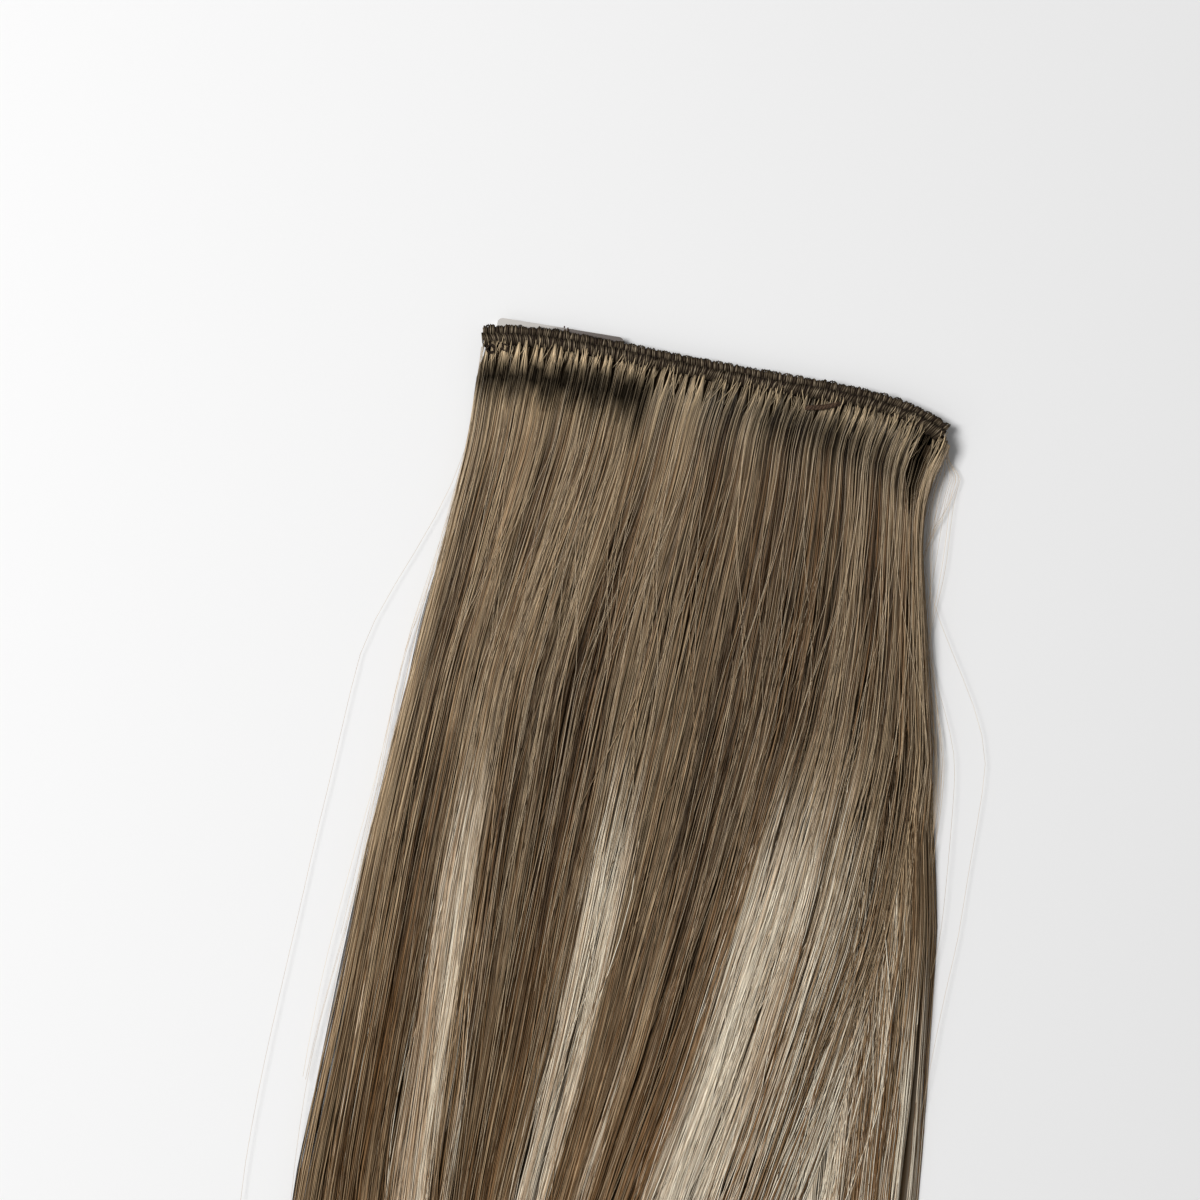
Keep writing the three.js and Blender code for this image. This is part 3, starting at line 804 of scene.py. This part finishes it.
# Rows that lighten the roots, the end tuft and a few upper locks are painted highlights; the other rows
# lighten streak B or darken single locks and areas.
SHEENS_AND_TONES = [  # along, width, start and end in mm, light
    (0.180, 0.180, 4, 11, 0.60),
    (0.395, 0.018, 6, 44, 0.34),
    (0.130, 0.022, 18, 52, 0.22),
    (0.330, 0.030, 30, 60, 0.12),
    (0.520, 0.070, 4, 14, -0.12),
    (0.720, 0.130, 6, 10, 0.40),
    (0.900, 0.040, 6, 20, 0.30),
    (0.982, 0.014, 4, 22, 0.50),
    (0.740, 0.012, 95, 250, -0.55),
    (0.590, 0.008, 60, 200, -0.35),
    (0.120, 0.045, 130, 240, -0.42),
    (0.524, 0.022, 120, 260, 0.45),
]


def slow_shade(along, fall):
    """Slow change of shade: darker at the upper right, lighter at the lower right.

    Each row of the table lightens or darkens the hairs near a place, from its start to its end; the lighter
    ones at the roots, on the end tuft and on a few upper locks are painted highlights.
    """
    upper = 1 - smooth_step(0.15, 0.48, fall / HAIR_FALL)
    right = smooth_step(0.3, 0.7, along)
    far_right = smooth_step(0.75, 0.95, along)
    middle = bell(along, 0.38, 0.1)
    between = smooth_step(0.22, 0.48, fall / HAIR_FALL)
    shade = -0.02 - 0.28 * upper * right + 0.4 * between * far_right - 0.34 * middle * between
    for place, width, start, end, light in SHEENS_AND_TONES:
        span = bell(fall, (start + end) / 2 * MM, (end - start) / 1.6 * MM)
        shade = shade + light * bell(along, place, width) * span
    return shade


def lay_along(dice, fall):
    """Coordinates for the hair finish: a random place for each hair, and the distance down it."""
    seed = np.broadcast_to(dice.random((len(fall), 1)) * SEED_SPREAD, fall.shape)
    return np.stack([seed, fall / LAY_LENGTH, 0 * fall], -1)


SHADE_NOISE = [  # seed, waves along, waves down, share
    (17, 6, 2, 0.22),
    (18, 16, 4, 0.18),
    (19, 75, 7, 0.20),
]


def put_hairs(name, layer, along, depth, length, dice):
    """One piece of hairs, each with its own thickness, shade and paleness.

    The shade is a random number, plus the wisp's and the lock's own, the noises, the table's
    painted highlights and darker places and, at the weft's right end, a painted light against the
    shade on that side with the wisp's own again. Pale hairs get less painted shade, and the back
    layer is lighter and gets less painted shade.
    """
    paths, fall, dim = hair_paths(layer, along, depth, length, dice)
    count = len(along)
    own = along[:, None]
    taper = 1 - 0.7 * smooth_step(0.9, 1.0, np.linspace(0, 1, HAIR_STEPS))
    thick = HAIR_RADIUS * dice.uniform(0.6, 1.4, (count, 1)) * taper
    piece = put_tubes(name, paths, thick, 3, roll=dice.random(count) * 2 * np.pi)
    wisp = nearest(along, WISP_CENTRES)
    wisp_shade = numbers(WISPS, 11)[wisp]
    lock = LOCK_CENTRES[nearest(along, LOCK_CENTRES)][:, None]
    shade = (dice.random(count) + 0.16 * wisp_shade - 0.03)[:, None]
    shade = shade + 0.28 * wave_noise(12, lock * 13, fall, 1, 4)
    # Near the weft's right end the hairs are painted lighter, against the shade on that side.
    end_shade = 0.25 + 0.7 * (numbers(WISPS, 26)[wisp][:, None] - 0.5)
    shade = shade + end_shade * smooth_step(0.95, 0.97, own)
    for seed, along_waves, fall_waves, share in SHADE_NOISE:
        shade = shade + share * wave_noise(seed, own, fall, along_waves, fall_waves)
    shade = shade + slow_shade(own, fall)
    pale = paleness(own, fall, (0.7 * dice.random(count) + 0.3 * wisp_shade)[:, None])
    warm = (0.22 + (dice.random(count) < 0.4) * dice.uniform(0.1, 0.55, count))[:, None]
    warm = warm * smooth_step(8 * MM, 30 * MM, fall)
    redder = 0.14 + 0.3 * smooth_step(0.5, 0.9, own)
    warm = warm + redder * smooth_step(0.35, 0.7, fall / HAIR_FALL)
    dim = dim * (1 - 0.8 * pale)
    if layer == "back":
        dim = 0.6 * dim
        shade = shade + 0.12 * smooth_step(0.22, 0.48, fall / HAIR_FALL)
    put_shades(piece, 3, lay_along(dice, fall), shade=shade, pale=pale, warm=warm, dim=dim)
    piece.data.materials.append(HAIR)
    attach(piece, "root")
    return piece


HAIRS_IN_PIECE = 850
PIECES = [
    ("hairs_front_left", "front", 0.001, 0.25, 0.0),
    ("hairs_front_inner_left", "front", 0.25, 0.5, 0.0),
    ("hairs_front_inner_right", "front", 0.5, 0.74, 0.0),
    ("hairs_front_right", "front", 0.74, 0.999, 0.0),
    ("hairs_back_right", "back", 0.72, 0.999, 0.9),
]
hair_pieces = []
for number, (name, layer, low, high, sink) in enumerate(PIECES):
    dice = np.random.default_rng(100 + number)
    count = HAIRS_IN_PIECE if layer == "front" else int(0.8 * HAIRS_IN_PIECE)
    along = low + (high - low) * (np.arange(count) + dice.random(count)) / count
    depth = dice.random(count) + sink
    length = 1 - 0.05 * dice.random(count) ** 2 - 0.05 * numbers(WISPS, 25)[nearest(along, WISP_CENTRES)]
    hair_pieces.append(put_hairs(name, layer, along, depth, length, dice))
print("hairs:", sum(triangles(piece) for piece in hair_pieces), "triangles")
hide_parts("hair_locks_front")
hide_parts("hair_locks_back")


# %% [markdown]
# Short ends of the folded hair stick out of the track and fan over the roots. Long stray hairs
# lie across the rest or stand off its edges, paler and thinner than the others.

# %% Short ends and stray hairs
SHORT_ENDS = 240
SHORT_STEPS = 6
STRAYS = 160
STRAY_RADIUS = 0.045 * MM


def put_short_ends(name, count, dice):
    """Short hairs from the front track, each fanning to a side and arching up and down again."""
    along = dice.uniform(0.004, 0.99, (count, 1))
    start = dice.uniform(2.8, 5.8, (count, 1)) * MM
    length = dice.uniform(2.0, 8.5, (count, 1)) * MM
    turn = dice.normal(-0.08, 0.22, (count, 1))
    part = np.linspace(0, 1, SHORT_STEPS)
    fall = start + length * part
    place = along + length * turn * part ** 1.4 / WEFT_LENGTH
    x, y = flow("front", place, fall)
    rise = dice.uniform(0.3, 1.3, (count, 1)) * MM * np.sin(np.pi * part ** 0.8)
    z = top_height(place, np.maximum(fall, ROOT_FALL)) + rise + 0.1 * MM
    piece = put_tubes(name, np.stack([x, y, z], -1), 0.1 * MM * (1 - 0.7 * part), 3)
    shade = dice.uniform(0.3, 1.3, (count, 1))
    # In the dips the short ends get painted shadow.
    put_shades(piece, 3, lay_along(dice, fall), shade=shade, dim=0.93 * dip(place, fall))
    return piece


def put_strays(name, along, spread, lift, length, settled, back, dice):
    """Long thin hairs of the front layer that leave the others' way.

    They are off by the spread once they have come down the settled share of the hair's fall,
    and wave about that place. The share back of the spread is gone again at their ends.
    """
    count = len(along)
    reach = dice.uniform(0.25, 1, (count, 1)) * length * HAIR_FALL
    fall = ROOT_FALL + reach * np.linspace(0, 1, HAIR_STEPS)
    down = fall / HAIR_FALL
    away = spread[:, None] * smooth_step(0, settled, down)
    away = away * (1 - back * smooth_step(0.35, 1, np.linspace(0, 1, HAIR_STEPS)))
    away = away + 0.012 * own_waves(dice, count, down, 0.8, 3)
    place = along[:, None] + away * smooth_step(0.01, settled, down)
    x, y = flow("front", place, fall)
    off = np.clip(np.maximum(-place, place - 1) / 0.02, 0, 1)
    lifted = lift * (0.4 + 0.6 * np.abs(own_waves(dice, count, down, 0.7, 2)))
    z = top_height(place, fall) * (1 - off) + off * 1.2 * MM + lifted
    piece = put_tubes(name, np.stack([x, y, z], -1), STRAY_RADIUS, 3)
    shade = dice.uniform(0.5, 1.2, (count, 1))
    pale = 0.35 * dice.random((count, 1))
    # In the dips the strays get painted shadow.
    put_shades(piece, 3, lay_along(dice, fall), shade=shade, pale=pale, warm=0.2, dim=0.8 * dip(place, fall))
    return piece


dice = np.random.default_rng(7)
short_ends = put_short_ends("hairs_short_ends", SHORT_ENDS, dice)
strays = put_strays(
    "hairs_stray", dice.random(STRAYS), dice.normal(0, 0.05, STRAYS), 0.8 * MM, 0.97, 0.3, 0, dice
)
EDGES = [
    {"name": "left", "low": 0.0, "high": 0.015, "count": 9, "spread": -0.009, "length": 0.95,
     "settled": 0.285, "back": 0},
    {"name": "right", "low": 0.985, "high": 1.0, "count": 30, "spread": 0.009, "length": 0.95,
     "settled": 0.285, "back": 0},
    {"name": "end", "low": 0.98, "high": 1.0, "count": 22, "spread": 0.032, "length": 0.24,
     "settled": 0.05, "back": 0.9},
]
edge_strays = []
for row in EDGES:
    along = dice.uniform(row["low"], row["high"], row["count"])
    spread = row["spread"] * np.minimum(dice.exponential(1, row["count"]), 2)
    name = "hairs_stray_" + row["name"]
    edge_strays.append(
        put_strays(name, along, spread, 0.5 * MM, row["length"], row["settled"], row["back"], dice)
    )
for piece in (short_ends, strays, *edge_strays):
    piece.data.materials.append(HAIR)
    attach(piece, "root")
loose = sum(triangles(piece) for piece in (short_ends, strays, *edge_strays))
print("short ends and strays:", loose, "triangles")


# %% [markdown]
# A track is hair folded over and bound with thread. Ropes of folded hair, four strands side by
# side, go round a core once for each stitch, with painted light on their crowns and painted
# shade in the grooves between them, where a thin dark thread winds round too. Coils of thread end
# the stitching at the left, and a cord and a few loops hold the clips.

# %% Stitched tracks
STITCHES = 86
TRACK_HEIGHT = 3.6 * MM
TRACK_STEP = 2.2 * MM
ROPE_STRANDS = np.array([-0.42, -0.15, 0.13, 0.4]) * MM
ROPE_HALF = 0.55 * MM
STRAND_RADIUS = 0.16 * MM
THREAD_RADIUS = 0.14 * MM
TURN_STEPS = 14
ROUNDING = 0.7
CORE_INSET = 0.5 * MM
THREAD_INSET = 0.25 * MM
ROPE_SIDE = (0.97, -0.2, 0)
# Where on each turn of a rope its crown's painted light lies, and how long it is.
CROWN_PLACE = -0.25
CROWN_LENGTH = 0.55


def thread_finish(name, dark, light, scale):
    """Sewing thread: fine fibres with a soft bump; their colour is darker in the bump's grooves, partly
    uneven fibre tone and partly painted shade.
    """
    yarn = Finish(name, Roughness=0.8, Specular_IOR_Level=0.25)
    fibres = yarn.noise(yarn.stretched(scale, scale, scale), 1.0, 4.0, 0.65)
    tone = yarn.clamp(fibres, 0.35, 0.68)
    return yarn.surface(
        Base_Color=yarn.mix(tone, colour(*dark), colour(*light)),
        Normal=yarn.bump(fibres, 0.5, 0.0002),
    )


THREAD_FINISH = thread_finish("binding_thread", (22, 16, 11), (70, 54, 40), 4200)
CORD_FINISH = thread_finish("sewing_thread", (38, 28, 21), (104, 80, 61), 4200)


def squared(wave):
    """A sine or cosine raised to a power under one, so that a circle turns into a rounded square."""
    return np.sign(wave) * np.abs(wave) ** ROUNDING


def wound(turns, below, low_z, high_z, beside, inset, slant, phase, dice):
    """Windings round a track, strand by step by coordinate, and the angle at each step.

    Across and up are a rounded rectangle's: cosine and sine raised to a power under one. The
    slant, given at the left end, the middle and the right end, carries a winding along on the
    face, so that it leans, and uneven turns shift and swell it. Beside and inset place each
    strand next to the winding's middle and under it, and the strands cross as they go.
    """
    turn = np.linspace(0, turns, turns * TURN_STEPS + 1)
    angle = 2 * np.pi * (turn + phase)
    ends = np.arange(turns + 1)
    shift = np.interp(turn, ends, dice.uniform(-0.25, 0.25, turns + 1))
    lean = np.interp(turn / turns, (0, 0.5, 1), slant)
    lean = lean + 0.45 * np.interp(turn, ends, dice.uniform(-1, 1, turns + 1))
    size = 1 + np.interp(turn, ends, dice.uniform(-0.16, 0.2, turns + 1))
    crossing = np.cos(angle * 0.5 + dice.uniform(0, 6, (len(beside), 1)))
    beside = beside[:, None] + 0.27 * MM * crossing
    share = (turn + shift + lean * np.cos(angle) * 0.5) / turns + beside / WEFT_LENGTH
    across, up = -squared(np.cos(angle)), squared(np.sin(angle))
    reach = below + TRACK_HEIGHT / 2 + across * (TRACK_HEIGHT / 2 - inset[:, None]) * size
    z = (low_z + high_z) / 2 + up * ((high_z - low_z) / 2 - inset[:, None]) * size
    x, y = below_weft(np.clip(share, 0, 1), reach)
    return np.stack([x, y, z], -1), angle


def put_track(name, node, below, seed, slant):
    """The core, ropes and thread of one track, as three pieces."""
    dice = np.random.default_rng(seed)
    low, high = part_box(node)
    across = np.linspace(-1, 1, 9)[:, None]
    bulge = np.sqrt(np.clip(1 - np.abs(across) ** 3, 0, 1))
    reach = below + TRACK_HEIGHT / 2 + across * (TRACK_HEIGHT / 2 - CORE_INSET)
    half = (high.z - low.z) / 2 - CORE_INSET
    x, y = below_weft(np.linspace(0.002, 0.998, 160), reach)
    level = np.full_like(x, (low.z + high.z) / 2)
    top = np.stack([x, y, level + half * bulge + 0.02 * MM], -1)
    bottom = np.stack([x, y, level - half * bulge - 0.02 * MM], -1)
    core = put_shell(name + "_core", top, bottom)
    arch = (ROPE_STRANDS / ROPE_HALF) ** 2
    path, angle = wound(
        STITCHES, below, low.z, high.z, ROPE_STRANDS, 0.1 * MM + 0.3 * MM * arch, slant, 0.0, dice
    )
    ropes = put_tubes(name + "_ropes", path, STRAND_RADIUS, 4, reference=ROPE_SIDE)
    turn = angle / (2 * np.pi)
    uneven = np.stack([np.interp(turn, np.arange(STITCHES + 1), dice.random(STITCHES + 1)) for _ in arch])
    # Painted light on the ropes' crowns, a little paler too, and painted shade on their flanks and in the
    # grooves.
    lit = bell(-squared(np.cos(angle)), CROWN_PLACE, CROWN_LENGTH)
    crown = (1 - 0.75 * arch)[:, None] * (0.15 + 0.85 * lit)
    lay = np.stack([uneven * 9 + np.arange(len(arch))[:, None] * 50, turn + 0 * uneven, 0 * uneven], -1)
    glint = crown * (0.5 + 0.5 * uneven)
    put_shades(ropes, 4, lay, shade=0.12 + 0.7 * uneven, pale=0.3 * glint, warm=0.15, dim=1 - 0.9 * glint)
    path, _ = wound(
        STITCHES, below, low.z, high.z, np.zeros(1), np.full(1, THREAD_INSET), slant, 0.5, dice
    )
    thread = put_tubes(name + "_thread", path, THREAD_RADIUS, 5, reference=ROPE_SIDE)
    for piece, finish in ((core, THREAD_FINISH), (ropes, FOLDED_HAIR), (thread, THREAD_FINISH)):
        piece.data.materials.append(finish)
        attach(piece, "root")
    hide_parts(node)
    return [core, ropes, thread]


KNOT_TURNS = 5
KNOT_RADIUS = 0.15 * MM
LOOP_RADIUS = 0.2 * MM


def put_knot(name, along, below, z, size, seed):
    """A coil of thread: turns round a hollow middle, in and out by a wave that doesn't fit them."""
    dice = np.random.default_rng(seed)
    t = np.linspace(0, 2 * np.pi * KNOT_TURNS, 40 * KNOT_TURNS)
    reach = 0.8 + 0.2 * np.cos(dice.uniform(1.3, 1.7) * t)
    lift = np.sin(dice.uniform(2.2, 2.6) * t)
    coil = np.stack([reach * np.cos(t), reach * np.sin(t), lift], -1) * np.array(size)
    middle = np.array([*below_weft(along, below), z])
    piece = put_tubes(name, (middle + coil)[None], KNOT_RADIUS, 6)
    piece.data.materials.append(THREAD_FINISH)
    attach(piece, "root")
    return piece


tracks = put_track("track_back", "weft_track_back", 0.0, 41, (0.5, -0.2, 1.3))
tracks += put_track("track_front", "weft_track_front", TRACK_STEP, 51, (-0.6, 0.8, 1.2))
KNOTS = [
    {"name": "knot_left", "along": 0.017, "below": 6.4, "size": (1.2, 1.2, 0.7)},
    {"name": "knot_left_inner", "along": 0.05, "below": 6.2, "size": (0.9, 1.1, 0.6)},
]
knots = []
for number, row in enumerate(KNOTS):
    size = [MM * value for value in row["size"]]
    knots.append(
        put_knot(row["name"], row["along"], row["below"] * MM, front_high.z + 0.2 * MM, size, 60 + number)
    )
SEWING_LEFT = {"along": 0.175, "below": 0.6, "reach": 1.75, "turns": 3}
SEWING_RIGHT = {"along": (0.690, 0.762), "below": (8.1, 5.3), "twists": 5, "thick": 0.38}


def put_loops(name, row, low_z, high_z):
    """Thread that holds a clip: loops round its spine, one on the other."""
    turn = np.linspace(0, 1, 18 * row["turns"] + 1) * 2 * np.pi * row["turns"]
    along = row["along"] + 0.004 * np.cos(turn / row["turns"] / 2) + 0.0004 * np.sin(turn)
    below = MM * (row["below"] + row["reach"] * np.cos(turn) * np.cos(turn / row["turns"] / 2))
    z = (low_z + high_z) / 2 + (high_z - low_z) / 2 * np.sin(turn)
    path = np.stack([*below_weft(along, below), z], -1)
    return put_tubes(name, path[None], LOOP_RADIUS, 5, reference=ROPE_SIDE)


def put_cord(name, row, z):
    """Two threads twisted into a cord that lies over the roots and dives into them at its ends."""
    part = np.linspace(0, 1, 60)
    along = np.interp(part, (0, 1), row["along"])
    below = np.interp(part, (0, 1), row["below"]) + 0.5 * np.sin(np.pi * part)
    sunk = 1.6 * (np.abs(2 * part - 1) ** 6)
    twist = 2 * np.pi * row["twists"] * part + np.array([[0], [np.pi]])
    x, y = below_weft(along, MM * (below + row["thick"] * np.cos(twist)))
    height = z + MM * (row["thick"] * np.sin(twist) - sunk)
    return put_tubes(name, np.stack([x, y, height], -1), row["thick"] * MM, 6)


sewing = [
    put_loops("sewing_left", SEWING_LEFT, 2.1 * MM, 3.7 * MM),
    put_cord("sewing_right", SEWING_RIGHT, front_high.z + 0.6 * MM),
]
for piece in sewing:
    piece.data.materials.append(CORD_FINISH)
    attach(piece, "root")
knots += sewing
print("tracks and knots:", sum(triangles(piece) for piece in tracks + knots), "triangles")


# %% [markdown]
# The clips are the frame's own solids. Stamped spring steel is grey and satin, with a fine
# brushing along the clip and a slight change of gloss; the sleeve is dull silicone. The steel's
# colour is painted: light at the left end of the left clip as a painted reflection, and darker
# from a little way in as painted shade, with a ragged boundary between them.

# %% Clip finishes
# From where to where along x the painted reflection on the steel gives way to painted shade.
REFLECTION_TO_SHADE_FROM_TO = (track_low.x + 18 * MM, track_low.x + 24 * MM)


def steel_finish():
    steel = Finish("clip_steel", Metallic=0.85)
    brushing = steel.noise(steel.stretched(150, 2600, 2600), 1.0, 4.0)
    patches = steel.noise(steel.place(), 260.0, 2.0)
    # A painted reflection at the left end, painted shade further right.
    reflection_to_shade = steel.clamp(steel.node("SeparateXYZ", Vector=steel.place()) + patches * 2 * MM, *REFLECTION_TO_SHADE_FROM_TO)
    return steel.surface(
        Base_Color=steel.mix(reflection_to_shade, colour(190, 186, 181), colour(112, 105, 101)),
        Roughness=0.34 + brushing * 0.2,
        Normal=steel.bump(brushing, 0.15, 0.00005),
    )


def silicone_finish():
    silicone = Finish("clip_silicone", Roughness=0.55)
    dust = silicone.noise(silicone.place(), 1800.0, 3.0)
    return silicone.surface(Base_Color=silicone.mix(dust, colour(52, 43, 35), colour(82, 70, 58)))


STEEL_FINISH = steel_finish()
SILICONE_FINISH = silicone_finish()
for side in ("left", "right"):
    for part, finish in (("frame", STEEL_FINISH), ("comb", STEEL_FINISH), ("grip", SILICONE_FINISH)):
        node = frame["nodes"][f"clip_{side}_{part}"]
        node.data.materials.clear()
        node.data.materials.append(finish)
print("clips finished")

# %% [markdown]
# The stage: a large pale floor, a soft light from the upper left that gives the soft shade at
# the right and below, and a bright even world, as in a daylight studio.

# %% Stage and light
FLOOR_SIDE = 6.0
FLOOR_DEPTH = 0.02
floor_grid = np.stack(np.meshgrid([-1, 1], [-1, 1], indexing="ij"), -1).reshape(2, 2, 2) * FLOOR_SIDE / 2
floor_top = np.concatenate([floor_grid, np.zeros((2, 2, 1))], -1)
floor_bottom = floor_top - np.array([0, 0, FLOOR_DEPTH])
floor = put_shell("floor", floor_top, floor_bottom)
floor.data.polygons.foreach_set("use_smooth", np.zeros(len(floor.data.polygons), bool))
floor.data.materials.append(Finish("floor", Base_Color=(0.9, 0.9, 0.9, 1), Roughness=0.7).material)


def soft_light(name, place, target, size, watts):
    """A square area light that faces a point."""
    data = bpy.data.lights.new(name, "AREA")
    data.size = size
    data.energy = watts
    lamp = bpy.data.objects.new(name, data)
    lamp.location = place
    direction = np.array(target) - np.array(place)
    yaw = np.arctan2(direction[1], direction[0]) - np.pi / 2
    pitch = np.arctan2(np.hypot(direction[0], direction[1]), -direction[2])
    lamp.rotation_euler = (pitch, 0, yaw)
    bpy.context.collection.objects.link(lamp)
    return lamp


soft_light("key", (-1.03, 0.36, 1.66), (0, 0, 0), 0.75, 34.0)
soft_light("side", (-1.5, -1.2, 1.6), (0, 0, 0), 2.0, 7)
world = bpy.data.worlds.new("studio")
world.use_nodes = True
world.node_tree.nodes["Background"].inputs["Color"].default_value = (1, 1, 1, 1)
world.node_tree.nodes["Background"].inputs["Strength"].default_value = 0.2
bpy.context.scene.world = world
bpy.context.scene.view_settings.view_transform = "Standard"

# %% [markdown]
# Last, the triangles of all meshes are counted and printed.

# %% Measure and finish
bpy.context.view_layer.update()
whole = sum(triangles(piece) for piece in bpy.data.objects if piece.type == "MESH")
print("all meshes:", whole, "triangles")
